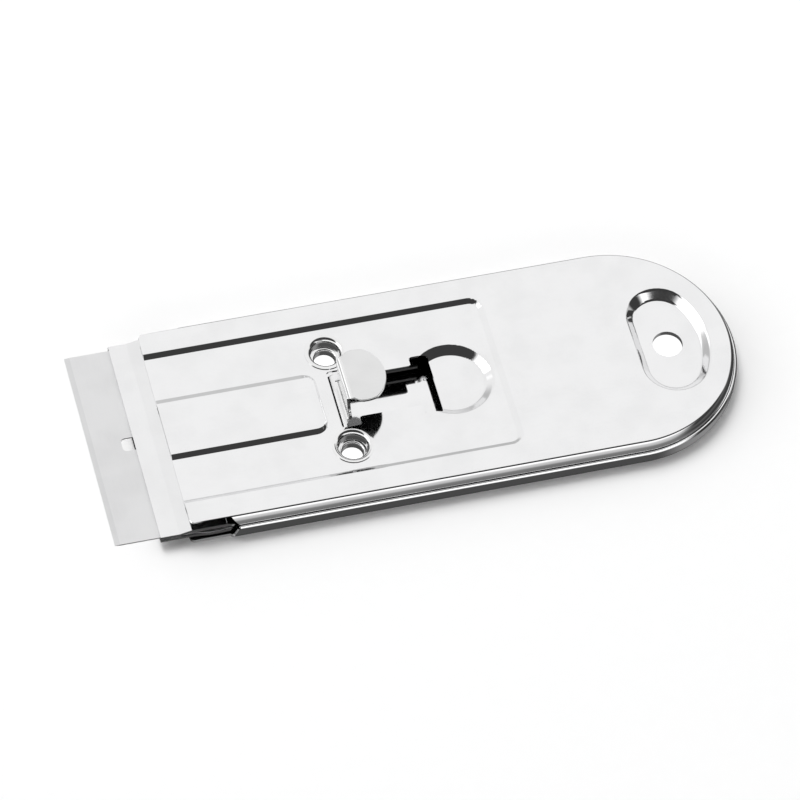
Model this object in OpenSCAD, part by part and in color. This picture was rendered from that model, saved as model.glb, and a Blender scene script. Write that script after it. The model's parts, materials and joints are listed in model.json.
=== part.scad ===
// Ceramic hob scraper: a flat pressed-steel case with a blade that slides in and out.
// X runs from the blade to the round end, Y across, Z up through the thumb tab.
// The origin is on the resting face, midway along the whole scraper with its blade out.

/* [Blade] */
// Length of the cutting edge
blade_w = 43; // [38:1:54]
// Depth of the blade, cutting edge to back
blade_d = 22; // [20:0.5:24]
// Thickness of the blade
blade_t = 0.3; // [0.25:0.05:0.35]
// Length of the ground bevel
bevel = 1; // [0.6:0.1:1.4]
// Length of the slot in the middle of the blade
blade_slot_len = 9.6; // [7:0.2:11]
// Width of that slot
blade_slot_w = 2.9; // [2:0.1:4]
// How far the blade stands out of the clamp
blade_out = 8.5; // [6:0.5:10]

/* [Case] */
// Straight length, front edge to the centre of the round end
side_len = 87.1; // [80:0.5:110]
// Height of the two closed shells
body_h = 5.6; // [5.5:0.1:7]
// Sheet thickness of both shells
sheet = 0.5; // [0.4:0.05:0.6]
// Outer radius of the rolled edges
edge_r = 1.2; // [0.9:0.1:1.4]
// Height of the lower shell's rim
rim_h = 3.4; // [2.6:0.1:3.8]
// Length of the case front where both rims are cut away
front_relief = 7.6; // [6:0.2:11]
// Slant of the cut in each rim, which is deepest at the seam between them
relief_slant = 1.6; // [0:0.1:2.5]
// How much narrower than its rim a shell is in front of that cut
relief_inset = 0.9; // [0.7:0.05:1.2]
// Radius of the front corners of the sheet
corner_r = 1; // [0.5:0.1:1.8]

/* [Pressed forms] */
// Depth of the sunken field on top
field_depth = 0.6; // [0.3:0.05:0.7]
// Half width of the sunken field
field_half = 17.3; // [15.5:0.1:18]
// Width of the slopes round it
slope_w = 1.3; // [0.8:0.1:1.8]
// Radius of its rear corners, at the outer edge of the slope
field_corner = 2.8; // [2:0.1:4]
// Half width of the raised middle panel, at its foot
panel_half = 7.1; // [6.6:0.1:7.6]
// Width of the slopes round the panel
panel_slope = 1.4; // [0.8:0.1:2]
// Radius of the panel's rear corners, at the foot of the slope
panel_corner = 2.6; // [2:0.1:4]
// Distance of the panel's rear end in front of the window
panel_back = 2.4; // [2:0.1:4]
// Distance of the dish's centre behind the window
dish_back = 3; // [2:0.1:4]
// Outer radius of the thumb dish
dish_r = 8.2; // [7:0.1:9]
// Radius of its flat floor
dish_floor_r = 6; // [5:0.1:6.5]
// Depth of the thumb dish below the field
dish_depth = 1.2; // [0.8:0.1:1.4]
// Outer radius of the long recess round the hanging hole
recess_r = 6.9; // [6:0.1:7.5]
// Radius of its floor
recess_floor_r = 4.8; // [4:0.1:5.2]
// Half the distance between the recess's two end centres
recess_span = 5.7; // [4:0.1:6]
// Depth of the recess
recess_depth = 1.7; // [1.2:0.1:1.8]
// Distance of the hanging hole behind the centre of the round end
hang_back = 10.4; // [9:0.1:12]
// Radius of the hanging hole
hang_r = 2.85; // [2:0.05:3.5]

/* [Slide] */
// Travel of the blade carrier
travel = 15.9; // [14.5:0.1:20]
// Front end of the window that the thumb tab runs in
window_x = 32.6; // [31:0.1:36]
// Half width of the window's narrow part
slot_half = 4.6; // [4.3:0.1:5]
// Half width of the two latch notches
notch_half = 6.5; // [6:0.1:6.8]
// Length of a latch notch
notch_len = 3.8; // [3.4:0.1:4.5]
// Radius of the corners of the window
window_r = 0.5; // [0.3:0.1:0.8]
// Distance of the eyelets behind the front end of the window
eyelet_back = 0.9; // [0.5:0.1:2]
// Distance of each eyelet from the middle
eyelet_y = 10.8; // [10.5:0.1:12]
// Radius of the hole through an eyelet
eyelet_r = 2; // [1.6:0.05:2.1]
// Radius of an eyelet's flange
eyelet_flange_r = 3.95; // [3.8:0.05:4.2]

/* [Carrier] */
// Thickness of the carrier's spring sheet
leaf = 0.6; // [0.4:0.05:0.65]
// Height of the carrier's middle plane, which is the blade's too
plate_z = 2.3; // [2.2:0.05:2.4]
// How far the clamp stands out of the case
jaw_out = 5.6; // [4.5:0.1:7]
// Length of the carrier behind the case's front edge
plate_len = 50.3; // [49:0.1:56]
// Play of the carrier between the case's side walls
side_play = 0.15; // [0.1:0.05:0.3]
// How far the carrier stands past each end of the blade
blade_side = 0.5; // [0.3:0.05:0.8]

/* [Thumb tongue] */
// Height of the top of the thumb tab
tab_z = 11.8; // [10:0.1:14]
// Radius of the tab
tab_r = 5.8; // [5:0.1:6.5]
// Rear end of the tab
tab_back = 42; // [40:0.1:44]
// Where the tongue springs from the plate
root_x = 12.6; // [11.5:0.1:16]
// Half width of the tongue's arm
arm_half = 5.5; // [4.8:0.05:5.7]
// Distance of the neck behind the front end of the window
neck_back = 2.1; // [1.9:0.05:2.4]
// How far the neck leans forward on its way up
neck_lean = 0.8; // [0:0.1:1.2]
// Half width of the neck
neck_half = 3.95; // [3:0.05:4.1]
// Half width of the shoulders that catch in the notches
shoulder_half = 6.1; // [5.8:0.05:6.3]
// How far the shoulders rise into a notch when the tongue is let go
latch_lift = 0.4; // [0.2:0.05:0.5]

/* [Hidden] */

// Clearances
nest_gap = 0.05;      // between the rims of the two shells
run_gap = 0.1;        // between the carrier and what guides it
blade_gap = 0.03;     // between the blade and each clamp leaf
root_gap = 0.1;       // between the tongue's root and the plate it springs from
arm_play = 0.3;       // between the tongue's arm and the plate's arms
ledge_gap = 0.15;     // between the carrier and the eyelets' ledges above it
notch_gap = 0.3;      // between the shoulders and the front of their notch
eps = 0.01;

// Widths, from the blade outwards
carrier_half = blade_w / 2 + blade_side;
upper_r = carrier_half + side_play + sheet;
lower_r = upper_r + nest_gap + sheet;

// Lengths
blade_tip = -jaw_out - blade_out;
case_end = side_len + lower_r;
front_x = -(case_end + blade_tip) / 2;
window_end = window_x + travel + notch_len;
dish_x = window_end + dish_back;
field_end = dish_x + dish_r + slope_w + 0.5;
panel_end = window_x - panel_back;
hang_x = side_len + hang_back;
eyelet_x = window_x + eyelet_back;

// Heights
field_z = body_h - field_depth;
field_under = field_z - sheet;
plate_lo = plate_z - leaf / 2;
plate_hi = plate_z + leaf / 2;
recess_z = body_h - recess_depth;
shoulder_hi = field_under - run_gap;
crown_rise = 0.6;
dip = 0.35;
boss_hi = plate_lo - run_gap;
boss_lo = boss_hi - sheet;
ledge_lo = plate_hi + ledge_gap;

// Eyelets
eyelet_wall = 0.35;
barrel_r = eyelet_r + eyelet_wall;
cup_r = barrel_r + 0.75;
cup_bore_r = cup_r - eyelet_wall;
flare_r = eyelet_flange_r - 0.6;
eyelet_hole_r = cup_r + nest_gap;
boss_r = eyelet_flange_r + 0.3;
boss_foot_r = boss_r + 1;

// Where the clamp's two leaves bend, counted from the case's front edge
crown_front = 0.2;
crown_back = 6.9;
clamp_back = 9.6;
dip_front = 3.6;
dip_back = 5.6;
weld_front = 9;
weld_back = 12;

$fn = 64;

// 2D helpers

// A rectangle from corner a to corner b with corners of radius r
module round_rect(a, b, r) {
    translate([a.x + r, a.y]) square([b.x - a.x - 2 * r, b.y - a.y]);
    translate([a.x, a.y + r]) square([b.x - a.x, b.y - a.y - 2 * r]);
    for (x = [a.x + r, b.x - r], y = [a.y + r, b.y - r]) translate([x, y]) circle(r);
}

function left_of(d) = [-d.y, d.x];
function turned(v, a) = [v.x * cos(a) - v.y * sin(a), v.x * sin(a) + v.y * cos(a)];
function unit(v) = v / norm(v);
function cross_z(a, b) = a.x * b.y - a.y * b.x;

// One bend of a strip: the points at distance s to the left of a centreline that turns
// at point b, between points a and c, on radius r
function bend(a, b, c, r, s, steps = 6) =
    let (d1 = unit(b - a), d2 = unit(c - b), way = cross_z(d1, d2) > 0 ? 1 : -1,
         angle = acos(d1 * d2), centre = b - d1 * r * tan(angle / 2) + left_of(d1) * way * r)
    [for (k = [0:steps]) centre - turned(left_of(d1), way * angle * k / steps) * way * (r - way * s)];

// One face of a bent strip, from end to end
function strip_face(path, radii, s) =
    let (n = len(path), d0 = unit(path[1] - path[0]), d1 = unit(path[n - 1] - path[n - 2]))
    concat([path[0] + left_of(d0) * s],
           [for (i = [1:n - 2]) each bend(path[i - 1], path[i], path[i + 1], radii[i - 1], s)],
           [path[n - 1] + left_of(d1) * s]);

function reversed(list) = [for (i = [len(list) - 1:-1:0]) list[i]];

// The side view of a sheet of thickness t bent along a path
module bent_strip(path, radii, t) {
    polygon(concat(strip_face(path, radii, t / 2), reversed(strip_face(path, radii, -t / 2))));
}

// The same side view made as wide as the piece, in X and Z
module bent_sheet(path, radii, t, half_w) {
    translate([0, half_w, 0]) rotate([90, 0, 0]) linear_extrude(2 * half_w) bent_strip(path, radii, t);
}

// A straight slope that eases into the level at each end, as points from (r0, z0) to (r1, z1)
function eased(u, e = 0.22) =
    u < e ? u * u / (2 * e * (1 - e)) : u > 1 - e ? 1 - (1 - u) * (1 - u) / (2 * e * (1 - e))
    : (u - e / 2) / (1 - e);
function slope_curve(r0, z0, r1, z1) =
    [for (u = [0, 0.07, 0.14, 0.22, 0.78, 0.86, 0.93, 1]) [r0 + (r1 - r0) * u, z0 + (z1 - z0) * eased(u)]];

// Pressed trays

// Half of a tray's section: a flat top with a rolled edge and a rim
module tray_section(r, top, t, e, rim) {
    difference() {
        tray_outline(r, top, e, rim);
        translate([-eps, 0]) tray_outline(r - t + eps, top - t, e - t, rim + 1);
    }
}

module tray_outline(r, top, e, rim) {
    translate([0, top - rim]) square([r, rim - e]);
    translate([0, top - e - eps]) square([r - e, e + eps]);
    translate([r - e, top - e]) circle(e);
}

// The whole tray: straight sides from x = 0 and a half-round end
module tray(r, top, t, e, rim) {
    for (side = [0, 1]) mirror([0, side, 0])
        rotate([90, 0, 90]) linear_extrude(side_len) tray_section(r, top, t, e, rim);
    translate([side_len, 0, 0]) rotate([0, 0, -90]) rotate_extrude(angle = 180)
        tray_section(r, top, t, e, rim);
}

// A sunken field with sloped sides and rounded rear corners, open above level top. It reaches
// from x = -1 to x1 and is half_w wide at level top.
module sunk_field(x1, half_w, top, depth, run, corner) {
    up = 1;
    flare = run / depth * up;
    rotate([90, 0, 90]) translate([0, 0, -1]) linear_extrude(x1 - corner + 1)
        polygon([[-half_w - flare, top + up], [half_w + flare, top + up],
                 [half_w - run, top - depth], [-half_w + run, top - depth]]);
    slope = [[corner + flare, top + up], [corner - run, top - depth]];
    translate([x1 - corner, half_w - corner, 0]) {
        rotate([90, 0, 0]) linear_extrude(2 * (half_w - corner))
            polygon(concat([[-eps, top + up]], slope, [[-eps, top - depth]]));
        for (shift = [0, 2 * (half_w - corner)]) translate([0, -shift, 0])
            rotate_extrude() polygon(concat([[0, top + up]], slope, [[0, top - depth]]));
    }
}

// The panel that stays up inside the field, with rounded rear corners. It reaches from x = -1
// to x1 and is half_w wide at its foot.
module raised_panel(x1, half_w, top, depth, run, corner) {
    drop = depth + 1;
    flare = run / depth * drop;
    half_top = half_w - run;
    corner_top = corner - run;
    rotate([90, 0, 90]) translate([0, 0, -2]) linear_extrude(x1 - corner + 2)
        polygon([[-half_top, top], [half_top, top], [half_top + flare, top - drop],
                 [-half_top - flare, top - drop]]);
    slope = [[corner_top, top], [corner_top + flare, top - drop]];
    translate([x1 - corner, half_w - corner, 0]) {
        rotate([90, 0, 0]) linear_extrude(2 * (half_w - corner))
            polygon(concat([[-eps, top]], slope, [[-eps, top - drop]]));
        for (shift = [0, 2 * (half_w - corner)]) translate([0, -shift, 0])
            rotate_extrude() polygon(concat([[0, top]], slope, [[0, top - drop]]));
    }
}

// A round bowl with a sloped side, open above level top
module bowl(r, floor_r, top, depth) {
    rotate_extrude() polygon(concat([[0, top - depth]], reversed(slope_curve(r, top, floor_r, top - depth)),
                                    [[r, top + 1], [0, top + 1]]));
}

// The long recess: two bowls and the trough between them, across the case
module long_recess(top, depth) {
    for (side = [-1, 1]) translate([hang_x, side * recess_span, 0])
        bowl(recess_r, recess_floor_r, top, depth);
    slope = slope_curve(recess_r, top, recess_floor_r, top - depth);
    translate([hang_x, recess_span, 0]) rotate([90, 0, 0]) linear_extrude(2 * recess_span)
        polygon(concat(slope, reversed([for (p = slope) [-p.x, p.y]]),
                       [[-recess_r, top + 1], [recess_r, top + 1]]));
}

// Everything pressed down into the upper shell, as one solid
module upper_pressing() {
    difference() {
        sunk_field(field_end, field_half, body_h, field_depth, slope_w, field_corner);
        raised_panel(panel_end, panel_half, body_h, field_depth, panel_slope, panel_corner);
    }
    translate([dish_x, 0, 0]) bowl(dish_r, dish_floor_r, field_z, dish_depth);
    long_recess(body_h, recess_depth);
}

// Plan of the window: a slot with a latch notch at each end
module window_plan() {
    round_rect([window_x, -slot_half], [window_end, slot_half], window_r);
    for (x = [window_x, window_end - notch_len])
        round_rect([x, -notch_half], [x + notch_len, notch_half], window_r);
}

// Pieces

module upper_shell() {
    rim = body_h - edge_r;
    color("gainsboro") translate([front_x, 0, 0]) difference() {
        union() {
            tray(upper_r, body_h, sheet, edge_r, rim);
            intersection() {
                translate([0, 0, -sheet]) upper_pressing();
                translate([0, -upper_r + sheet, 0]) cube([side_len + upper_r, 2 * (upper_r - sheet), body_h - eps]);
            }
        }
        upper_pressing();
        translate([0, 0, plate_hi]) linear_extrude(body_h) window_plan();
        for (side = [-1, 1]) {
            translate([eyelet_x, side * eyelet_y, plate_hi]) cylinder(r = eyelet_hole_r, h = body_h);
            front_cut(side, upper_r, body_h, rim_h);
        }
        translate([hang_x, 0, 0]) cylinder(r = hang_r, h = body_h);
    }
}

// What is cut from a front corner of a shell of radius r: the rim, on a slant from the shell's
// outer face at level z0 to the seam at level z1, and the sheet's corner
module front_cut(side, r, z0, z1) {
    edge = r - relief_inset;
    out = z0 < z1 ? -1 : 1;
    mirror([0, side < 0 ? 1 : 0, 0]) {
        translate([0, r + 1, 0]) rotate([90, 0, 0]) linear_extrude(relief_inset + 1)
            polygon([[-1, z0 + out], [front_relief, z0 + out], [front_relief, z0],
                     [front_relief + relief_slant, z1], [front_relief + relief_slant, z1 - out * body_h],
                     [-1, z1 - out * body_h]]);
        translate([0, edge - corner_r, -1]) difference() {
            translate([-1, 0, 0]) cube([corner_r + 1, corner_r + 1, body_h + 2]);
            translate([corner_r, 0, 0]) cylinder(r = corner_r, h = body_h + 2);
        }
    }
}

module lower_shell() {
    boss_top = recess_z - sheet;
    color("silver") translate([front_x, 0, 0]) difference() {
        union() {
            mirror([0, 0, 1]) tray(lower_r, 0, sheet, edge_r, rim_h);
            lower_pressing(boss_top, eps);
        }
        translate([0, 0, -sheet]) lower_pressing(boss_top, 0);
        for (side = [-1, 1]) {
            translate([eyelet_x, side * eyelet_y, -1]) cylinder(r = barrel_r + nest_gap, h = boss_hi + 2);
            front_cut(side, lower_r, 0, rim_h);
        }
        translate([hang_x, 0, -1]) cylinder(r = hang_r, h = body_h);
    }
}

// Everything pressed up into the lower shell: a ring boss under each eyelet and the long boss
// that meets the upper shell's recess
module lower_pressing(boss_top, foot) {
    for (side = [-1, 1]) translate([eyelet_x, side * eyelet_y, boss_hi])
        mirror([0, 0, 1]) bowl(boss_foot_r, boss_r, boss_hi - sheet, boss_hi - sheet - foot);
    translate([0, 0, boss_top]) mirror([0, 0, 1]) long_recess(boss_top - sheet, boss_top - sheet - foot);
}

// A stepped tube that joins the shells: flange on top, a ledge, and a flared lower end
module eyelet() {
    wall = eyelet_wall;
    flare_z = boss_lo - wall;
    flange_z = field_z + wall;
    rotate_extrude() difference() {
        union() {
            translate([0, field_z]) square([eyelet_flange_r - wall / 2, wall]);
            translate([eyelet_flange_r - wall / 2, field_z + wall / 2]) circle(wall / 2);
            translate([0, ledge_lo]) square([cup_r, field_z - ledge_lo + eps]);
            translate([0, boss_lo - eps]) square([barrel_r, ledge_lo - boss_lo + 2 * eps]);
            translate([0, flare_z]) square([flare_r, wall]);
        }
        polygon(concat([[-1, flare_z - 1], [flare_r - 0.4, flare_z - 1]],
                       [for (k = [0:6]) let (a = 15 * k)
                           [eyelet_r + 1 - sin(a), flare_z + 1.2 * (1 - cos(a))]],
                       [[eyelet_r, ledge_lo + wall], [cup_bore_r - 0.1, ledge_lo + wall],
                        [cup_bore_r, flange_z - 0.3], [cup_bore_r + 0.1, flange_z - 0.1],
                        [cup_bore_r + 0.3, flange_z], [cup_bore_r + 0.3, flange_z + 1],
                        [-1, flange_z + 1]]));
    }
}

module left_eyelet() {
    color("lightgray") translate([front_x + eyelet_x, eyelet_y, 0]) eyelet();
}

module right_eyelet() {
    color("lightgray") translate([front_x + eyelet_x, -eyelet_y, 0]) eyelet();
}

// The carrier: the clamp's upper leaf in front, and an E-shaped plate behind it
module slider_plate() {
    lip_z = plate_z + blade_t / 2 + blade_gap + leaf / 2;
    crown_z = lip_z + crown_rise;
    gap_half = arm_half + arm_play;
    corner = 3;
    path = [[-jaw_out, lip_z], [crown_front - 2.2, lip_z], [crown_front, crown_z], [crown_back, crown_z],
            [clamp_back, plate_z], [plate_len, plate_z]];
    color("whitesmoke") translate([front_x, 0, 0]) difference() {
        bent_sheet(path, [1, 1.2, 1.5, 1.5], leaf, carrier_half);
        translate([0, 0, -1]) linear_extrude(body_h) {
            round_rect([root_x, -gap_half], [plate_len + 5, gap_half], window_r);
            for (side = [-1, 1]) translate([eyelet_x, side * eyelet_y]) eyelet_slot();
            for (side = [-1, 1]) translate([plate_len, side * carrier_half]) rotate([0, 0, 45])
                square(corner, center = true);
        }
    }
}

// A slot as long as the travel, with the eyelet at its rear end
module eyelet_slot() {
    r = barrel_r + run_gap;
    circle(r);
    translate([-travel, 0]) circle(r);
    translate([-travel, -r]) square([travel, 2 * r]);
}

// The clamp's lower leaf, welded under the plate behind the blade
module clamp_leaf() {
    lip_z = plate_z - blade_t / 2 - blade_gap - leaf / 2;
    weld_z = plate_z - leaf;
    path = [[-jaw_out, lip_z], [dip_front - 2.6, lip_z], [dip_front, lip_z - dip], [dip_back, lip_z - dip],
            [weld_front, weld_z], [weld_back, weld_z]];
    color("gainsboro") translate([front_x, 0, 0]) bent_sheet(path, [2, 2, 2, 1], leaf, carrier_half);
}

// Front view of the neck and tab: how wide the tongue is at each height
module tongue_front() {
    bend_z = tab_z - 1.8;
    w0 = slot_half - 0.15;
    half = [[w0, shoulder_hi], [w0, shoulder_hi + 0.4], [neck_half, shoulder_hi + 2.8], [neck_half, bend_z],
            [neck_half + 0.1, bend_z + 0.5], [neck_half + 0.45, bend_z + 1.1], [neck_half + 1.1, tab_z + 0.1]];
    polygon(concat(half, reversed([for (p = half) [-p.x, p.y]])));
}

// Plan of the thumb tab, flatter behind than a full circle
module tab_plan(neck_x) {
    rear_r = 1.14 * tab_r;
    intersection() {
        translate([tab_back - tab_r + 1, 0]) circle(tab_r);
        translate([tab_back - rear_r, 0]) circle(rear_r);
    }
    translate([neck_x - 2, -tab_r]) square([3, 2 * tab_r]);
}

module thumb_tongue() {
    shoulder_z = shoulder_hi - leaf / 2;
    arm_z = shoulder_z - latch_lift - run_gap / 2;
    step_x = window_x + notch_gap;
    neck_x = window_x + neck_back;
    path = [[root_x + root_gap, plate_z], [root_x + 2, plate_z], [step_x, arm_z], [step_x + 0.65, shoulder_z],
            [neck_x, shoulder_z], [neck_x - neck_lean, tab_z - leaf / 2], [tab_back, tab_z - leaf / 2]];
    color("white") translate([front_x, 0, 0]) intersection() {
        bent_sheet(path, [3, 0.4, 0.4, 0.7, 1], leaf, shoulder_half);
        union() {
            linear_extrude(shoulder_hi) {
                round_rect([root_x, -arm_half], [neck_x + 1, arm_half], 0.2);
                round_rect([step_x, -shoulder_half], [neck_x + 1, shoulder_half], 0.4);
            }
            translate([neck_x - 2, 0, 0]) rotate([90, 0, 90]) linear_extrude(3) tongue_front();
            translate([0, 0, tab_z - 1.2]) linear_extrude(2) intersection() {
                tab_plan(neck_x);
                translate([neck_x + 0.5, -tab_r]) square([tab_r * 2, tab_r * 2]);
            }
        }
    }
}

// The blade: a thin plate ground from both sides, with a slot in its middle
module blade() {
    slot_half_l = blade_slot_len / 2;
    h = blade_t / 2;
    tip_h = 0.02;
    color("lightsteelblue") translate([front_x + blade_tip, 0, plate_z]) difference() {
        translate([0, blade_w / 2, 0]) rotate([90, 0, 0]) linear_extrude(blade_w)
            polygon([[0, tip_h], [bevel, h], [blade_d, h], [blade_d, -h], [bevel, -h], [0, -tip_h]]);
        translate([blade_d / 2, 0, -1]) linear_extrude(2) {
            square([blade_slot_len, blade_slot_w / 2], center = true);
            square([blade_slot_len - blade_slot_w / 2, blade_slot_w], center = true);
            for (end = [-1, 1], side = [-1, 1])
                translate([end * (slot_half_l - blade_slot_w / 4), side * blade_slot_w / 4])
                circle(blade_slot_w / 4);
        }
    }
}

upper_shell();
lower_shell();
left_eyelet();
right_eyelet();
slider_plate();
clamp_leaf();
thumb_tongue();
blade();
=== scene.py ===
# %% [markdown]
# # A ceramic hob scraper
# This lesson puts the looks on a finished CAD model of a flat steel scraper. The CAD pieces
# are the fixed frame: they say where everything is, in metres, and nothing here moves them.

# %% Load the frame
import json
import math

import bpy
import numpy as np
from mathutils import Matrix, Vector


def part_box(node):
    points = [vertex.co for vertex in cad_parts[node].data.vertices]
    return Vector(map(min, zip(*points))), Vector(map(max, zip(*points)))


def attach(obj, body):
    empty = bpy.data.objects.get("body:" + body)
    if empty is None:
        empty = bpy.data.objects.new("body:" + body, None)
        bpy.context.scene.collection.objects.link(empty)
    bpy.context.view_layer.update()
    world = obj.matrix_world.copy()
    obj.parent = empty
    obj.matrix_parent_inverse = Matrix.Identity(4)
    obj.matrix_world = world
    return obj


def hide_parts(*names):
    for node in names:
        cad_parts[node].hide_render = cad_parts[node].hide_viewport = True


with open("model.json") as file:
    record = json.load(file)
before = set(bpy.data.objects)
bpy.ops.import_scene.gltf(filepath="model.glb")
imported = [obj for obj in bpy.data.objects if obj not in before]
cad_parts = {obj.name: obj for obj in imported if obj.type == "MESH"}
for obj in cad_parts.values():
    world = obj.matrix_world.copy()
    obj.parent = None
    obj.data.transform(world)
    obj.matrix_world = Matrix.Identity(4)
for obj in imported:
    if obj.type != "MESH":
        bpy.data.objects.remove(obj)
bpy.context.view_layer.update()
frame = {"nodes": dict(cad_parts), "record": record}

# %% [markdown]
# ## Shader maths as plain expressions
# A material is a net of nodes. Written out link by link it is hard to read, so one small
# class wraps a socket and lets ordinary operators add the Math nodes.


# %% The net and its wires
class Wire:
    """A value in a node net. Operators on it add Math nodes."""

    def __init__(self, net, socket):
        self.net, self.socket = net, socket

    def math(self, operation, *others):
        return self.net.add("ShaderNodeMath", {"operation": operation}, [self, *others])

    def __add__(self, other):
        return self.math("ADD", other)

    def __sub__(self, other):
        return self.math("SUBTRACT", other)

    def __mul__(self, other):
        return self.math("MULTIPLY", other)

    def __rsub__(self, other):
        return self.net.add("ShaderNodeMath", {"operation": "SUBTRACT"}, [other, self])

    __radd__, __rmul__ = __add__, __mul__


class Net:
    """The nodes of one material or world."""

    def __init__(self, owner):
        owner.use_nodes = True
        self.tree = owner.node_tree

    def add(self, kind, settings=None, values=(), out=0):
        """Adds a node: its settings first, then the values or wires of its sockets."""
        node = self.tree.nodes.new(kind)
        for name, value in (settings or {}).items():
            if name == "stops":
                ramp = node.color_ramp
                while len(ramp.elements) < len(value):
                    ramp.elements.new(1)
                for stop, (place, shade) in zip(ramp.elements, value):
                    stop.position, stop.color = place, (*shade, 1)
            else:
                setattr(node, name, value)
        items = values.items() if isinstance(values, dict) else enumerate(values)
        for name, value in items:
            socket = node.inputs[name]
            if isinstance(value, Wire):
                self.tree.links.new(value.socket, socket)
            elif value is not None:
                socket.default_value = value
        return Wire(self, node.outputs[out])

    def smooth(self, value, low, high):
        """0 below low, 1 above high, and a smooth climb between them."""
        settings = {"interpolation_type": "SMOOTHSTEP"}
        return self.add("ShaderNodeMapRange", settings, [value, low, high, 0.0, 1.0])

    def apart(self, vector):
        """The three parts of a vector."""
        node = self.tree.nodes.new("ShaderNodeSeparateXYZ")
        self.tree.links.new(vector.socket, node.inputs[0])
        return [Wire(self, socket) for socket in node.outputs]

    def tint(self, factor, first, second):
        """A mix of two colours."""
        values = {0: factor, 6: first, 7: second}
        return self.add("ShaderNodeMix", {"data_type": "RGBA"}, values, out=2)


# %% [markdown]
# ## Plated steel
# Bright nickel over pressed steel is a mirror, so most of its look is the room around it.
# What the metal itself adds is small: faint rolling lines left along the strip, a soft
# mottle in its polish, and a fine speckle too low to see but for its effect on highlights.

# %% The bright plating
def plated(name, shade, polish, grain=0.05, along=(0.02, 1.0, 1.0),
           satin=0.0, painted_shade=0.0, bevel=0.0):
    """A plated finish: its base colour, its lowest roughness, how strong its rolling lines are
    and which way they run, which is the way with the small share. Where asked, a high level
    face is satin, a face that looks down gets painted shade and a face that looks forward is darker."""
    material = bpy.data.materials.new(name)
    net = Net(material)
    shader = net.tree.nodes["Principled BSDF"]
    place = net.add("ShaderNodeTexCoord", out=3)
    lines = net.add("ShaderNodeMapping", {}, [place, (0, 0, 0), (0, 0, 0), along])
    rolled = net.add("ShaderNodeTexNoise", {}, {"Vector": lines, "Scale": 9000.0, "Detail": 3.0})
    mottle = net.add("ShaderNodeTexNoise", {}, {"Vector": place, "Scale": 160.0, "Detail": 4.0})
    speckle = net.add("ShaderNodeTexNoise", {}, {"Vector": place, "Scale": 2500.0, "Detail": 2.0})
    _, _, place_z = net.apart(place)
    face_x, _, face_z = net.apart(net.add("ShaderNodeTexCoord", out=1))
    level = net.smooth(face_z, 0.93, 0.99) * net.smooth(place_z, 0.009, 0.0105)
    dull = tuple(0.93 * c for c in shade)
    worn = net.smooth(mottle, 0.35, 0.75) * 0.6 + rolled * 0.3
    colour = net.tint(worn, (*shade, 1), (*dull, 1))
    # painted shade: a face that looks down is darkened towards black; a face that looks forward is darker
    painted_down_shade = 1 - net.smooth(face_z, -0.6, -0.2)
    forward = 1 - net.smooth(face_x, -0.1, -0.05)
    darker = painted_down_shade * painted_shade + forward * bevel
    colour = net.tint(darker + level * satin * 0.3, colour, (0.02, 0.02, 0.02, 1))
    rough = net.smooth(mottle, 0.3, 0.8) * 0.03 + rolled * grain + level * satin + polish
    relief = {"Strength": 0.04, "Distance": 0.00002, "Height": rolled + speckle * 0.5}
    bump = net.add("ShaderNodeBump", {}, relief)
    shader.inputs["Metallic"].default_value = 1.0
    for socket, wire in (("Base Color", colour), ("Roughness", rough), ("Normal", bump)):
        net.tree.links.new(wire.socket, shader.inputs[socket])
    print("finish", name, "with", len(net.tree.nodes), "nodes")
    return material


finishes = {
    "plated_shell": plated("bright_plating", (0.93, 0.93, 0.935), 0.03),
    "plated_eyelet": plated("eyelet_plating", (0.92, 0.92, 0.92), 0.05),
    "plated_carrier": plated("carrier_plating", (0.91, 0.91, 0.915), 0.08),
    # the tab's finish: a satin top, and painted shade on the faces that look down
    "satin_tab": plated("satin_tab", (0.91, 0.91, 0.91), 0.08, 0.08, satin=0.22, painted_shade=0.82),
    # the blade: its faces that look forward are darker
    "ground_blade": plated("ground_blade", (0.84, 0.84, 0.845), 0.26, 0.25, (1.0, 0.02, 1.0),
                           bevel=0.07),
}
slots = {part["node"]: part["material_slot"] for part in frame["record"]["subparts"]}
for name, piece in frame["nodes"].items():
    for holder in piece.material_slots:
        holder.material = finishes[slots[name]]
    print(name, "has", len(piece.data.polygons), "faces in", slots[name])

# %% [markdown]
# ## Pressed sheet as arrays
# Each shell is one sheet with a flat face, a rolled edge and shapes pressed into it. A CAD
# mesh of it is made of facets, which a mirror shows. Here the sheet is worked out again as
# whole arrays, with exact normals, so that reflections run smoothly over every slope.

# %% Slopes and outlines
MM = 0.001
front_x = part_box("upper_shell")[0].x / MM


def eased(u, e=0.22):
    """A slope from 0 to 1: a parabola over the first and last part e, and straight between."""
    u = np.clip(u, 0, 1)
    ends = np.minimum(u, 1 - u) ** 2 / (2 * e * (1 - e))
    middle = (u - e / 2) / (1 - e)
    return np.where(u < e, ends, np.where(u > 1 - e, 1 - ends, middle))


def inside_box(x, y, x0, x1, half, r):
    """Signed distance to a rectangle with corners of radius r, negative inside: the distance
    to the rectangle shrunk by r, less r."""
    px = np.abs(x - (x0 + x1) / 2) - (x1 - x0) / 2 + r
    py = np.abs(y) - half + r
    outside = np.hypot(np.maximum(px, 0), np.maximum(py, 0))
    return outside + np.minimum(np.maximum(px, py), 0) - r


def across_share(x, y, x0, x1, half, r):
    """How much of the way to such a rectangle's outline runs across it, 1 at its sides and 0
    at its ends: the square of the way across over the square of the whole way."""
    px = np.maximum(np.abs(x - (x0 + x1) / 2) - (x1 - x0) / 2 + r, 0)
    py = np.maximum(np.abs(y) - half + r, 0)
    return py ** 2 / (px ** 2 + py ** 2 + 1e-9)


def inside_circle(x, y, cx, cy, r):
    """Signed distance to a circle, negative inside."""
    return np.hypot(x - cx, y - cy) - r


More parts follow.
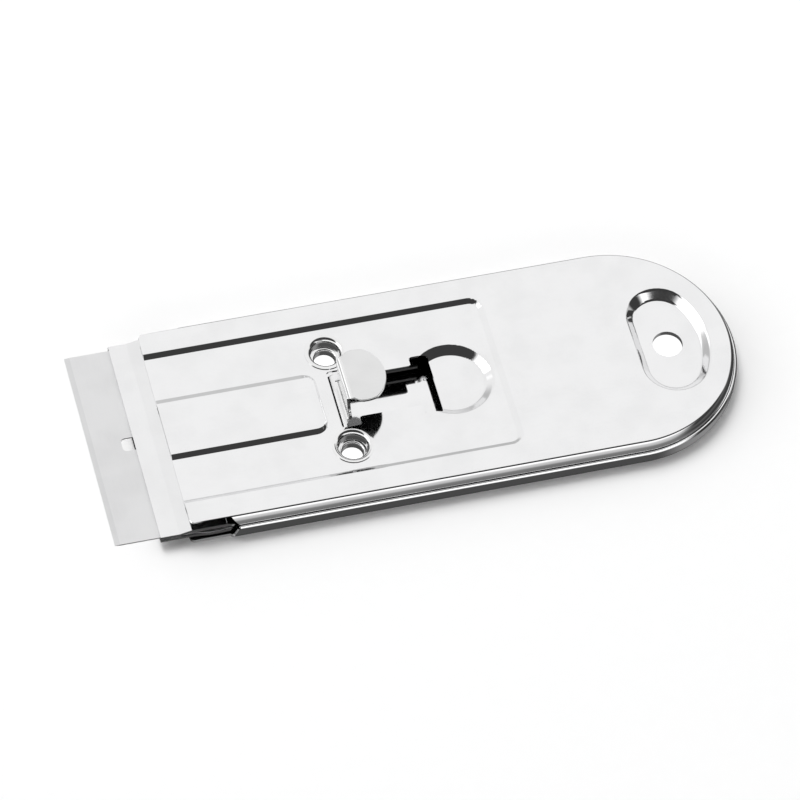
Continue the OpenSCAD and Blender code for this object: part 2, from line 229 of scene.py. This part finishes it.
def spaced(*stops):
    """Values from the first stop on: each (end, step) goes to end in steps of about that size."""
    values = [stops[0]]
    for end, step in stops[1:]:
        count = max(1, round((end - values[-1]) / step))
        values += list(np.linspace(values[-1], end, count + 1)[1:])
    return np.array(values)


print("the case's front edge is at", round(front_x, 2), "mm")

# %% [markdown]
# ## From a grid to a closed sheet
# A grid has no holes. Its points near an outline are pulled onto it, the faces inside the
# outline are dropped, and the sheet's second face and its cut edges are added.


# %% The sheet builder
def weld(points, faces):
    """Points at the same place become one, and faces that lose a corner go."""
    places = np.round(points, 4)
    _, first, inverse = np.unique(places, axis=0, return_index=True, return_inverse=True)
    faces = inverse.reshape(-1)[faces]
    a, b, c = faces.T
    return first, faces[(a != b) & (b != c) & (c != a)]


def open_edges(faces):
    """The directed edges that only one triangle has."""
    edges = np.concatenate([faces[:, [0, 1]], faces[:, [1, 2]], faces[:, [2, 0]]])
    low_high = np.sort(edges, axis=1)
    _, inverse, count = np.unique(low_high, axis=0, return_inverse=True, return_counts=True)
    return edges[count[inverse.reshape(-1)] == 1]


def make_object(name, points, faces, corner_normals, node):
    """Puts arrays in millimetres into a mesh object that stands for a CAD node."""
    mesh = bpy.data.meshes.new(name)
    mesh.from_pydata(points * MM, [], faces)
    mesh.shade_smooth()
    mesh.normals_split_custom_set(corner_normals.reshape(-1, 3))
    piece = bpy.data.objects.new(name, mesh)
    bpy.context.scene.collection.objects.link(piece)
    slot_name = slots[node]
    mesh.materials.append(finishes[slot_name])
    bodies = frame["record"]["behaviour"]["bodies"]
    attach(piece, next(body for body, nodes in bodies.items() if node in nodes))
    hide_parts(node)
    print(name, "with", len(faces), "triangles")
    return piece


def lattice(shape, first=0):
    """The four corners of each cell of a grid whose points are numbered row by row, from first on."""
    i = np.arange(shape[0] * shape[1]).reshape(shape) + first
    return np.stack([i[:-1, :-1], i[1:, :-1], i[1:, 1:], i[:-1, 1:]], -1).reshape(-1, 4)


def split(quads):
    """Each cell as two triangles, along its first diagonal."""
    return np.concatenate([quads[:, [0, 1, 2]], quads[:, [0, 2, 3]]])


def halved(quads, snap):
    """Each cell as two triangles, split along the diagonal whose ends both lie on an outline."""
    p, q, r, s = quads.T
    other = (snap[q] & snap[s])[:, None]
    first = np.where(other, np.stack([p, q, s], 1), np.stack([p, q, r], 1))
    second = np.where(other, np.stack([q, r, s], 1), np.stack([p, r, s], 1))
    return np.concatenate([first, second])


def slope_of(height, x, y, e=0.01):
    """The two slopes of a height at each place, from points a little to either side."""
    along = (height(x + e, y) - height(x - e, y)) / (2 * e)
    across = (height(x, y + e) - height(x, y - e)) / (2 * e)
    return along, across


def onto_outline(x, y, keep, cell, free=True):
    """Moves the points within half a cell of an outline onto it, by their distance against its
    gradient. Also gives which ones moved, and the distance left at each point."""
    near = keep(x, y)
    gx, gy = slope_of(keep, x, y)
    snap = (np.abs(near) < cell / 2) & free
    x, y = np.where(snap, x - near * gx, x), np.where(snap, y - near * gy, y)
    return x, y, snap, np.where(snap, 0, near)


SHARED_COS = 0.93


def closed_sheet(name, points, normals, faces, thick, node, back=None):
    """A sheet from its outer face: the same face again, thick lower along the normals and
    turned over, and a wall from each open edge of one to the other. Walls share a normal
    where the edge turns by less than the angle whose cosine is SHARED_COS. A back face that
    is shaped otherwise comes as its own points and normals."""
    count = len(points)
    under, under_normals = back or (points - normals * thick, -normals)
    edges = open_edges(faces)
    a, b = edges.T
    across = np.cross(points[a] - points[b], under[b] - points[b])
    across /= np.linalg.norm(across, axis=1, keepdims=True) + 1e-12
    shared = np.zeros_like(points)
    np.add.at(shared, a, across)
    np.add.at(shared, b, across)
    shared /= np.linalg.norm(shared, axis=1, keepdims=True) + 1e-12
    bend_a, bend_b = (
        np.where((shared[end] * across).sum(1, keepdims=True) > SHARED_COS, shared[end], across)
        for end in (a, b)
    )
    walls = np.concatenate([np.stack([b, a, a + count], 1), np.stack([b, a + count, b + count], 1)])
    first, second = np.stack([bend_b, bend_a, bend_a], 1), np.stack([bend_b, bend_a, bend_b], 1)
    wall_normals = np.concatenate([first, second])
    all_faces = np.concatenate([faces, faces[:, ::-1] + count, walls])
    corner_normals = np.concatenate([normals[faces], under_normals[faces[:, ::-1]], wall_normals])
    return make_object(name, np.concatenate([points, under]), all_faces, corner_normals, node)


# %% [markdown]
# ## The shells' sheet
# Both shells are the same kind of tray: one edge section carried down the two straight
# sides and round the half-circle at the end. The section is given by how far the sheet has
# turned at each length along it, which is how a press tool is drawn.


# %% The tray
SHEET = 0.5
CELL = 0.34  # the grid's step where holes are cut
END_STEPS = 136  # columns round the half-circle
straight = 87.1
rim_cut = (7.6, 1.6, 0.9)  # from the front, lean, width of the rim


def turned_edge(lengths, degrees, step):
    """The section of a rolled edge. Its tilt is read off a list of turns at given lengths;
    the way out is the running sum of the tilt's cosine and the way down that of its sine."""
    s = np.arange(0, lengths[-1] + step / 2, step)
    tilt = np.radians(np.interp(s, lengths, degrees))
    mid = (tilt[1:] + tilt[:-1]) / 2
    out = np.concatenate([[0], np.cumsum(np.cos(mid) * step)])
    down = np.concatenate([[0], np.cumsum(np.sin(mid) * step)])
    return out, down, tilt


def tray_surface(name, node, radius, columns, rows, edge, pressed, keep, base, up, cut):
    """The outer face of a tray. Along the sides a point is (x, r, z), and round the end it is
    turned about the end's centre. Its height is base - up * (edge's drop + pressed depth), and
    its normal follows from the tilt of the edge or from the slope of what is pressed. The rim
    starts at a slanted cut, given by where it starts, how far it leans back, how wide the rim
    is and how deep the cut goes."""
    out, down, tilt = edge
    flat = radius - out[-1]
    half_rows = np.concatenate([rows[rows < flat - 0.05], flat + out])
    drop = np.concatenate([np.zeros(len(half_rows) - len(out)), down])
    lean = np.concatenate([np.zeros(len(half_rows) - len(out)), tilt])
    both = np.concatenate([-half_rows[:0:-1], half_rows])
    turns = np.radians(np.linspace(90, -90, END_STEPS))

    x1, r1 = np.meshgrid(columns, both, indexing="ij")
    index1 = np.abs(np.arange(len(both)) - (len(half_rows) - 1))
    d1, l1 = np.broadcast_to(drop[index1], x1.shape), np.broadcast_to(lean[index1], x1.shape)
    y1 = r1
    dir1 = np.stack([np.zeros_like(y1), np.sign(y1)], -1)

    t2, r2 = np.meshgrid(turns, half_rows, indexing="ij")
    dir2 = np.stack([np.cos(t2), np.sin(t2)], -1)
    x2, y2 = straight + r2 * dir2[..., 0], r2 * dir2[..., 1]
    d2, l2 = np.broadcast_to(drop, r2.shape), np.broadcast_to(lean, r2.shape)

    quads = np.concatenate([lattice(x1.shape), lattice(x2.shape, x1.size)])
    x = np.concatenate([x1.ravel(), x2.ravel()])
    y = np.concatenate([y1.ravel(), y2.ravel()])
    d = np.concatenate([d1.ravel(), d2.ravel()])
    tipped = np.concatenate([l1.ravel(), l2.ravel()])
    away = np.concatenate([dir1.reshape(-1, 2), dir2.reshape(-1, 2)])

    # the slanted cut: points of the rim on the cut's column lean back with it
    relief, slant, inset, seam = cut
    on_rim = np.hypot(np.maximum(x - straight, 0), y) > radius - inset + 0.01
    x = np.where(on_rim & (np.abs(x - relief) < 0.01), x + slant * np.clip(d / seam, 0, 1), x)

    x, y, snap, held = onto_outline(x, y, keep, CELL, d < 0.15)
    z = base - up * (d + pressed(x, y))
    sx, sy = slope_of(pressed, x, y)
    level = tipped < 1e-6
    nx = np.where(level, sx, np.sin(tipped) * away[:, 0])
    ny = np.where(level, sy, np.sin(tipped) * away[:, 1])
    nz = np.where(level, 1.0, np.cos(tipped)) * up
    normals = np.stack([nx, ny, nz], 1)
    normals /= np.linalg.norm(normals, axis=1, keepdims=True)
    points = np.stack([x + front_x, y, z], 1)

    faces = halved(quads, snap)
    mid_x, mid_y, mid_d = (part[faces].mean(1) for part in (x, y, d))
    mid_r = np.hypot(np.maximum(mid_x - straight, 0), mid_y)
    cut_x = relief + slant * np.clip(mid_d / seam, 0, 1)
    cut_off = (mid_r > radius - inset + 0.005) & (mid_x < cut_x)
    faces = faces[(held[faces].mean(1) <= 1e-4) & ~cut_off]
    if up < 0:
        faces = faces[:, ::-1]
    first_use, faces = weld(points, faces)
    used, faces = np.unique(faces, return_inverse=True)
    pick = first_use[used]
    return closed_sheet(name, points[pick], normals[pick], faces.reshape(-1, 3), SHEET, node)


# %% [markdown]
# ## The upper shell
# Its press tool sinks a field 0.6 mm deep with a panel left up in the middle, a round dish
# for the thumb behind the window, and a long recess round the hanging hole. Its holes are
# the tab's window with a latch notch at each end, one for each eyelet, and the hanging hole.
# All sizes are millimetres, and x counts from the case's front edge.

# %% Upper shell
upper_r, top = 22.65, 5.6
past_front = -60
sunk = 0.6
field_end, field_half, field_corner, field_run = 65.3, 17.3, 2.8, 1.3
panel = (past_front, 30.2, 7.1, 2.6)  # from, to, half width, corner radius
panel_rear_run, panel_side_more, panel_uneven = 0.5, 1.0, 0.3
window = (32.6, 52.3, 4.6, 0.5)  # the same four
notch = (3.8, 6.5)  # length, half width
dish = (55.3, 8.2, 6.0, 1.2)  # centre, radius above, radius of its floor, depth
recess = (97.3, 5.4, 4.6, 2.1, 1.7)  # centre, half way between its ends, radius, slope, depth
bulge = (87.9, 10.84)  # centre and radius of its rear
hang_x, hang_r = 97.5, 2.85
eyelet_place = (33.5, 10.8, 3.75)  # from the front, to the side, radius of the hole


def recess_slope(x, y):
    """0 outside the long recess, 1 on its floor. The floor's outline is an oval: a straight
    front, two round ends and a rear that bulges out on a larger circle."""
    cx, cy, r, run, _ = recess
    ends = np.hypot(x - cx, np.maximum(np.abs(y) - cy, 0)) - r
    rear = np.hypot(x - bulge[0], y) - bulge[1] - r
    in_rear = (x > cx) & (np.abs(y) * (cx - bulge[0]) < cy * (x - bulge[0]))
    return eased(1 - np.where(in_rear, rear, ends) / run)


def upper_pressed(x, y):
    """How far the upper shell's face lies below its top: the field, less the panel, plus the
    dish and the recess, each a slope read from the distance to its outline. The panel's rear
    end is steeper than its sides, and its far side is less steep than its near one."""
    from_field = inside_box(x, y, past_front, field_end, field_half, field_corner)
    field = sunk * eased(-from_field / field_run)
    run = panel_rear_run + across_share(x, y, *panel) * (panel_side_more + panel_uneven * np.tanh(y))
    panel_up = sunk * eased(-inside_box(x, y, *panel) / run)
    bowl = dish[3] * eased((dish[1] - np.hypot(x - dish[0], y)) / (dish[1] - dish[2]))
    return field - panel_up + bowl + recess[4] * recess_slope(x, y)


def upper_keep(x, y):
    """Negative where the upper shell has metal: outside every hole, within the front corners."""
    x0, x1, half, r = window
    hole = np.minimum.reduce([
        inside_box(x, y, x0, x1, half, r),
        inside_box(x, y, x0, x0 + notch[0], notch[1], r),
        inside_box(x, y, x1 - notch[0], x1, notch[1], r),
        inside_circle(x, np.abs(y), *eyelet_place),
        inside_circle(x, y, hang_x, 0, hang_r),
    ])
    corner = np.where(x < 2, inside_box(x, y, 0, 40, upper_r - 0.9, 1.0), -9)
    return np.maximum(-hole, corner)


slope_steps = np.array([0, 0.11, 0.22, 0.5, 0.78, 0.89, 1])
side_runs = [panel_rear_run + panel_side_more + way * panel_uneven for way in (1, -1)]
across = [(field_half, field_run), (panel[2], side_runs[0]), (panel[2], side_runs[1])]
slope_rows = np.concatenate([half - run * slope_steps for half, run in across])
even_rows = np.linspace(0, 21.4, 64)
clear = np.abs(even_rows[:, None] - slope_rows).min(1) > 0.12
upper_rows = np.unique(np.concatenate([even_rows[clear], slope_rows]).round(3))
lengthwise = [(panel[1], panel_rear_run), (field_end, field_run)]
slope_columns = np.concatenate([end - run * slope_steps for end, run in lengthwise])
near_front = [0, (1.2, 0.2), (rim_cut[0], 1.3), (10.5, 2.9), (27, 1.6)]
even_columns = spaced(*near_front, (66, CELL), (straight, 1.8))
clear = np.abs(even_columns[:, None] - slope_columns).min(1) > 0.04
upper_columns = np.unique(np.concatenate([even_columns[clear], slope_columns]).round(3))
upper_edge = turned_edge([0, 0.5, 1.3, 1.75, 2.9, 3.1, 4.3], [0, 50, 64, 80, 84, 90, 90], 0.1)
tray_surface("pressed_upper_shell", "upper_shell", upper_r, upper_columns, upper_rows,
             upper_edge, upper_pressed, upper_keep, top, 1, (*rim_cut, 2.2))

# %% [markdown]
# ## The lower shell
# The other half, turned over: its rim stands outside the upper one's, and its floor rises in
# two round bosses to the eyelets and in one long boss to the hanging hole.

# %% Lower shell
lower_r, rim_h = 23.2, 3.4
boss = (5.25, 4.25, 1.4)  # radius below, radius of its top, height
long_boss_h, foot_hole_r = 2.9, 2.4


def lower_pressed(x, y):
    """How far the lower shell's underside lies above the table, as slopes round its bosses."""
    ring = np.hypot(x - eyelet_place[0], np.abs(y) - eyelet_place[1])
    low = boss[2] * eased((boss[0] - ring) / (boss[0] - boss[1]))
    return low + long_boss_h * recess_slope(x, y)


def lower_keep(x, y):
    """Negative where the lower shell has metal."""
    hole = np.minimum(inside_circle(x, np.abs(y), *eyelet_place[:2], foot_hole_r),
                      inside_circle(x, y, hang_x, 0, hang_r))
    corner = np.where(x < 2, inside_box(x, y, 0, 40, lower_r - 0.9, 1.0), -9)
    return np.maximum(-hole, corner)


lower_columns = spaced(*near_front, (39.5, CELL), (straight, 1.8))
lower_edge = turned_edge([0, 1.885, 3.735], [0, 90, 90], 0.095)
lower_rows = np.linspace(0, 21.9, 66)
tray_surface("pressed_lower_shell", "lower_shell", lower_r, lower_columns, lower_rows,
             lower_edge, lower_pressed, lower_keep, 0, -1, (*rim_cut, rim_h))

# %% [markdown]
# ## The lower rim's bevelled edge
# The lower rim ends in a slight bevel, which catches a thin line of light along the seam. It is
# a narrow strip laid along the rim, from one slanted cut to the other.


# %% Rim edge
def rim_strip(name, node, radius, height, start, end_x, section):
    """A strip along the rim: down one side, round the end and back. Its section lists the way
    out from the radius, the height and the tilt of the face at each line along it."""
    side, turn = np.linspace(start, end_x, 60), np.linspace(np.pi / 2, -np.pi / 2, 121)[1:-1]
    base = np.stack([np.concatenate([side, end_x + 0 * turn, side[::-1]]), np.zeros(239)], 1)
    out = np.concatenate([[[0, 1]] * 60, np.stack([np.cos(turn), np.sin(turn)], 1), [[0, -1]] * 60])
    away, rise, tilt = (np.array(part)[None, :, None] for part in zip(*section))
    tilt = np.radians(tilt)
    plan = base[:, None] + out[:, None] * (radius + away)
    each = 0 * plan[..., :1]
    points = np.concatenate([plan + [front_x, 0], height + rise + each], -1).reshape(-1, 3)
    normals = np.concatenate([out[:, None] * np.sin(tilt), np.cos(tilt) + each], -1).reshape(-1, 3)
    faces = split(lattice(plan.shape[:2]))
    back = points * [1, 1, 0] + [0, 0, height - 0.02]
    return closed_sheet(name, points, normals, faces, 0.3, node, (back, 0 * normals - [0, 0, 1]))


bevel_h = 0.35
bevel_section = [(-0.5, bevel_h, 0), (-0.33, bevel_h, 8), (-0.28, 0.32, 44), (-0.15, 0.18, 49),
                 (-0.02, 0.03, 55), (0, 0, 80)]
cut_end = rim_cut[0] + rim_cut[1]
rim_strip("bevelled_lower_rim", "lower_shell", lower_r, rim_h - bevel_h, cut_end, straight, bevel_section)

# %% [markdown]
# ## Bent strips
# The thumb tongue and the eyelets are strips bent along a path. A path is a few corners, each
# rounded by an arc, and it gives both the points and the exact normals of the sheet.


# %% A bent path
def bent_path(corners, radii, step=0.25):
    """A line through corners with each one rounded: an arc starts r tan(turn / 2) before its
    corner. Gives points, unit normals to the left, lengths, and where each arc starts and ends."""
    corners = np.array(corners, float)
    ways = np.diff(corners, axis=0)
    ways /= np.linalg.norm(ways, axis=1, keepdims=True)
    points, normals = [corners[:1]], [[[-ways[0, 1], ways[0, 0]]]]
    for corner, a, b, r in zip(corners[1:], ways, ways[1:], radii):
        turn = math.atan2(a[0] * b[1] - a[1] * b[0], a @ b)
        side, left = math.copysign(r, turn), np.array([-a[1], a[0]])
        t = np.linspace(0, turn, 15)[:, None]
        spun = np.cos(t) * left - np.sin(t) * a
        points.append(corner - a * r * math.tan(abs(turn) / 2) + left * side - spun * side)
        normals.append(spun)
    points.append(corners[-1:])
    normals.append(normals[-1][-1:])
    ends = np.cumsum([len(part) for part in points])
    points, normals = np.concatenate(points), np.concatenate(normals)
    length = np.concatenate([[0], np.cumsum(np.linalg.norm(np.diff(points, axis=0), axis=1))])
    fine = np.unique(np.concatenate([length, np.arange(0, length[-1], step)]).round(5))
    points, normals = (
        np.stack([np.interp(fine, length, part[:, k]) for k in (0, 1)], 1)
        for part in (points, normals)
    )
    arcs = [(length[i], length[j - 1]) for i, j in zip(ends[:-2], ends[1:-1])]
    return points, normals / np.linalg.norm(normals, axis=1, keepdims=True), fine, arcs


# %% [markdown]
# ## The eyelets
# Each is a stepped tube turned round its axis: a flared foot under the lower shell, a narrow
# barrel, a ledge, a wider cup and a flange on the field.


# %% Eyelets
def lathe(name, corners, radii, thick, centre, node):
    """A strip turned round an upright axis. Its outer face is the left side of its path."""
    path, left, _, _ = bent_path(corners, radii, 0.3)
    face = path + left * thick / 2
    turn = np.linspace(0, 2 * np.pi, 97)
    r, a = np.meshgrid(face[:, 0], turn, indexing="ij")
    out, rise = left[:, :1] + 0 * r, left[:, 1:] + 0 * r
    height = face[:, 1:] + 0 * r
    points = np.stack([centre[0] + r * np.cos(a), centre[1] + r * np.sin(a), height], -1)
    points = points.reshape(-1, 3)
    normals = np.stack([out * np.cos(a), out * np.sin(a), rise], -1).reshape(-1, 3)
    keep, faces = weld(points, split(lattice(r.shape)))
    return closed_sheet(name, points[keep], normals[keep], faces, thick, node)


eyelet_wall = 0.35
foot_z, ledge_z, flange_z = 1.225, 2.925, 5.175
eyelet_path = [(3.35, foot_z), (2.175, foot_z), (2.175, ledge_z), (2.925, ledge_z),
               (2.925, flange_z), (3.95, flange_z)]
eyelet_bends = (0.5, 0.25, 0.2, 0.8)
for side, node in ((1, "left_eyelet"), (-1, "right_eyelet")):
    centre = (front_x + eyelet_place[0], side * eyelet_place[1])
    eyelet = lathe("turned_" + node, eyelet_path, eyelet_bends, eyelet_wall, centre, node)
    eyelet.visible_glossy = False

# %% [markdown]
# ## The thumb tongue
# One strip: an arm under the case, two shoulders in the window, a neck that leans forward and
# a round tab. A rule gives its half width at each place, and its long edges are rounded.

# %% Thumb tongue
arm_half, shoulder_half, neck_half, foot_half = 5.5, 6.1, 3.95, 4.45
leaf, plate_z, shoulder_z, tab_z = 0.6, 2.3, 4.1, 11.5
tongue_corners = [(12.7, plate_z), (14.6, plate_z), (32.9, 3.65), (33.55, shoulder_z),
                  (34.7, shoulder_z), (33.9, tab_z), (42.0, tab_z)]
path, left, length, arcs = bent_path(tongue_corners, (3, 0.4, 0.4, 0.7, 1), 0.2)
tab_from, tab_end = arcs[4][1], length[-1]
tab_steps = tab_end - (tab_end - tab_from) * (1 - np.sin(np.linspace(0, np.pi / 2, 60)))
jump = arcs[3][0]
stops = np.unique(np.concatenate([length[length < tab_from], tab_steps, [jump - 0.01]]).round(5))
path, left = ([np.interp(stops, length, part[:, k]) for k in (0, 1)] for part in (path, left))
path, left = np.stack(path, 1), np.stack(left, 1)
high = (path + left * leaf / 2)[:, 1]


def disc_half(x):
    """Half width of the tab: two circles, the rear one flatter."""
    inner = 5.8 ** 2 - (x - 37.2) ** 2
    rear = 6.612 ** 2 - (x - 35.388) ** 2
    return np.sqrt(np.maximum(np.minimum(inner, rear), 0))


corner = np.clip((stops - arcs[1][0]) / 0.4, 0, 1)
shoulders = shoulder_half - 0.4 + 0.4 * np.sqrt(1 - (1 - corner) ** 2)
neck = neck_half + (foot_half - neck_half) * eased((7.2 - high) / 2.4, 0.45)
neck = neck + np.interp(high, [10, 10.5, 11.1, 11.9], [0, 0.1, 0.45, 1.1])
joined = np.clip((path[:, 0] - 34.8) / 1.2, 0, 1)
tab = disc_half(path[:, 0]) - 0.31 * (1 - eased(joined, 0.45))
stretches = [stops < arcs[1][0], stops < jump, stops < tab_from]
half_width = np.maximum(np.select(stretches, [arm_half, shoulders, neck], tab), 0.02)

edge_turn = np.radians(np.linspace(0, 80, 7))
edge_r = 0.16
spread = np.concatenate([-np.sin(edge_turn[::-1]), [0] * 12, np.sin(edge_turn)]) * edge_r
flat_part = np.concatenate([[-1] * 7, np.linspace(-0.9, 0.9, 12), [1] * 7])
lower = np.concatenate([1 - np.cos(edge_turn[::-1]), [0] * 12, 1 - np.cos(edge_turn)]) * edge_r
lean = np.concatenate([-edge_turn[::-1], [0] * 12, edge_turn])
inner_half = np.maximum(half_width - edge_r, 0.005)[:, None]
y = inner_half * flat_part + spread * np.minimum(half_width / edge_r, 1)[:, None]


def strip_points(rise):
    """Points of the strip at a height over its middle plane, one row for each stop."""
    at = path[:, None] + left[:, None] * rise[..., None]
    return np.stack([at[..., 0] + front_x, y, at[..., 1]], -1).reshape(-1, 3)


def strip_normals(lean):
    """The strip's own normals, leaned over sideways by an angle."""
    parts = [left[:, :1] * np.cos(lean), np.sin(lean) + 0 * y, left[:, 1:] * np.cos(lean)]
    return np.stack(parts, -1).reshape(-1, 3)


outer = strip_points(leaf / 2 - lower + 0 * y)
inner = strip_points(-leaf / 2 + 0 * y)
closed_sheet("bent_thumb_tongue", outer, strip_normals(lean), split(lattice(y.shape)), leaf,
             "thumb_tongue", (inner, -strip_normals(0 * lean)))

# %% [markdown]
# ## The blade
# A thin plate ground to an edge from both sides. Its slot is an outline on the same kind of grid.


# %% Blade
edge_out = 14.1
blade_deep, blade_half, blade_thick = 22, 21.5, 0.3
grind, edge_half = 1, 0.02
slot = (6.2, 15.8, 1.45, 0.725)  # from, to, half width, corner radius


def blade_keep(x, y):
    """Negative where the blade has metal: outside its slot."""
    return -inside_box(x, y, *slot)


blade_x = spaced(0, (0.99, 0.99), (1.01, 0.02), (5.6, 1.1), (16.4, 0.3), (blade_deep, 1.1))
blade_y = spaced(-blade_half, (-2, 1.2), (2, 0.25), (blade_half, 1.2))
x, y = (part.ravel() for part in np.meshgrid(blade_x, blade_y, indexing="ij"))
x, y, snap, held = onto_outline(x, y, blade_keep, 0.27)
faces = halved(lattice((len(blade_x), len(blade_y))), snap)
faces = faces[held[faces].mean(1) < 1e-4]
used, faces = np.unique(faces, return_inverse=True)
x, y, faces = x[used], y[used], faces.reshape(-1, 3)
climb = (blade_thick / 2 - edge_half) / grind
rise = edge_half + climb * np.clip(x, 0, grind)
ground = np.where(x < grind, -climb, 0.0)
upper_side = np.stack([x + front_x - edge_out, y, plate_z + rise], 1)
lower_side = np.stack([x + front_x - edge_out, y, plate_z - rise], 1)
facing = np.stack([ground, 0 * x, 0 * x + 1], 1) / np.sqrt(1 + ground ** 2)[:, None]
blade = closed_sheet("ground_blade_plate", upper_side, facing, faces, blade_thick, "blade",
                     (lower_side, facing * [1, 1, -1]))
blade.visible_shadow = blade.visible_diffuse = False

# %% [markdown]
# ## The room
# A mirror shows its room. The sky is a soft tent of light behind the scraper, a dark gap
# overhead towards the viewer, a low white band in front and one brighter panel on the left.

# %% The sky
world = bpy.data.worlds.new("studio")
bpy.context.scene.world = world
sky = Net(world)
ray = sky.add("ShaderNodeTexCoord", out=0)
ray_x, ray_y, ray_z = sky.apart(ray)

above = sky.smooth(ray_z, -0.02, 0.0)
behind = sky.smooth(ray_y, -0.10, 0.06)
tent = behind * (sky.smooth(ray_z, 0.10, 0.34) * 0.40 + 0.50)
tent = tent * (sky.smooth(ray_x, -0.2, 0.1) * 0.035 + 0.965)
front = (1 - behind) * (1 - sky.smooth(ray_z, 0.46, 0.54)) * (1 - sky.smooth(ray_x, 0.6, 0.82))
front = front * (sky.smooth(ray_z, 0.08, 0.4) * 0.75 + 0.55)
to_left, down = ray_x * -1.0, ray_z * -1.0
strip = sky.smooth(to_left, 0.52, 0.66) * sky.smooth(ray_z, 0.12, 0.2)
strip = strip * sky.smooth(ray_y, -0.16, -0.06) * (1 - sky.smooth(ray_y, 0.42, 0.5))
glint = sky.smooth(to_left, 0.6, 0.7) * sky.smooth(ray_z, 0.2, 0.26)
glint = glint * (1 - sky.smooth(ray_z, 0.4, 0.47)) * behind
falling = [(0.0, 0.55), (0.12, 0.45), (0.3, 0.25), (0.55, 0.2), (0.7, 0.17), (0.82, 0.07), (1.0, 0.05)]
stops = [(place, (value, value, value)) for place, value in falling]
below = sky.add("ShaderNodeValToRGB", {"stops": stops}, [down])
below = below * (1 - sky.smooth(ray_x, 0.5, 0.78) * 0.8)
low_right = sky.smooth(ray_x, 0.3, 0.6) * sky.smooth(down, 0.6, 0.75) * 0.2
overhead = 0.045
high = tent + front + strip * 0.9 + glint * 0.5 + overhead
light = above * high + (1 - above) * (below + low_right)
background = sky.tree.nodes["Background"]
sky.tree.links.new(light.socket, background.inputs["Strength"])
background.inputs["Color"].default_value = (1.0, 1.0, 1.0, 1.0)
print("sky with", len(sky.tree.nodes), "nodes")

# %% [markdown]
# ## The floor
# A matt pale sheet with one large soft lamp high behind the scraper. The mirrors see neither:
# upright plated walls in such a picture mirror a dark table edge, which the sky's lower half
# gives, so the lamp and the sheet are hidden from glossy rays. Under each hole of the case a
# small square of the sheet glows, because the picture shows clear white through them. The
# blade throws no shadow for the same reason: its slot is white in the picture too.

# %% A pale floor
reach, low = 1.5, -0.00005
corners = [(x, y, low) for x, y in ((-reach, -reach), (reach, -reach), (reach, reach), (-reach, reach))]
floor_mesh = bpy.data.meshes.new("floor")
floor_mesh.from_pydata(corners, [], [(0, 1, 2, 3)])
floor = bpy.data.objects.new("floor", floor_mesh)
bpy.context.scene.collection.objects.link(floor)
paper = bpy.data.materials.new("pale_paper")
sheet_net = Net(paper)
place = sheet_net.add("ShaderNodeTexCoord", out=3)
fibre = sheet_net.add("ShaderNodeTexNoise", {}, {"Vector": place, "Scale": 300.0})
paper_tone = sheet_net.tint(fibre, (0.94, 0.94, 0.94, 1), (0.96, 0.96, 0.96, 1))
paper_shader = sheet_net.tree.nodes["Principled BSDF"]
paper_shader.inputs["Roughness"].default_value = 0.9
paper_shader.inputs["Specular IOR Level"].default_value = 0.1
paper_shader.inputs["Emission Strength"].default_value = 1.0
sheet_net.tree.links.new(paper_tone.socket, paper_shader.inputs["Base Color"])
place_x, place_y, _ = sheet_net.apart(place)


def lit_patch(cx, cy, half):
    """1 on a soft-edged square of the sheet."""
    gaps = [(place - c * MM).math("ABSOLUTE") for place, c in ((place_x, cx), (place_y, cy))]
    sides = [1 - sheet_net.smooth(gap, (half - 1) * MM, half * MM) for gap in gaps]
    return sides[0] * sides[1]


patches = 0.0
for under_hole in ((50.2, 2.5, 4.5), (-14.2, 12.1, 3.6), (-14.2, -9.5, 3.6)):
    patches = lit_patch(*under_hole) + patches
glow = sheet_net.tint(patches, (0, 0, 0, 1), (1, 1, 1, 1))
sheet_net.tree.links.new(glow.socket, paper_shader.inputs["Emission Color"])
floor.data.materials.append(paper)
floor.visible_glossy = False
lamp = bpy.data.lights.new("soft_lamp", "AREA")
lamp.shape, lamp.size, lamp.energy = "DISK", 1.2, 22
soft_lamp = bpy.data.objects.new("soft_lamp", lamp)
lamp_place = Vector((-0.35, 0.9, 1.9))
facing_in = lamp_place.to_track_quat("Z", "Y").to_matrix().to_4x4()
soft_lamp.matrix_world = Matrix.Translation(lamp_place) @ facing_in
soft_lamp.visible_glossy = False
bpy.context.scene.collection.objects.link(soft_lamp)
print("floor", 2 * reach, "m wide, lamp", lamp.energy, "W")

# %% [markdown]
# ## The camera
# A long lens from the front left, tipped a little, as the picture was taken.

# %% The camera
eye = Vector((-0.2081, -0.5964, 0.8909))
ahead = Vector((0.1884, 0.5468, -0.8158)).normalized()
right = Vector((0.9669, -0.2490, 0.0564))
right = (right - ahead * right.dot(ahead)).normalized()
upward = right.cross(ahead)
lens = bpy.data.cameras.new("camera")
lens.lens, lens.sensor_width = 262.17, 36
lens.clip_start, lens.clip_end = 0.05, 20
camera = bpy.data.objects.new("camera", lens)
turn = Matrix((right, upward, -ahead)).transposed().to_4x4()
camera.matrix_world = Matrix.Translation(eye) @ turn
bpy.context.scene.collection.objects.link(camera)
bpy.context.scene.camera = camera
bpy.context.scene.view_settings.view_transform = "Standard"
print("camera", [round(v, 3) for v in eye])
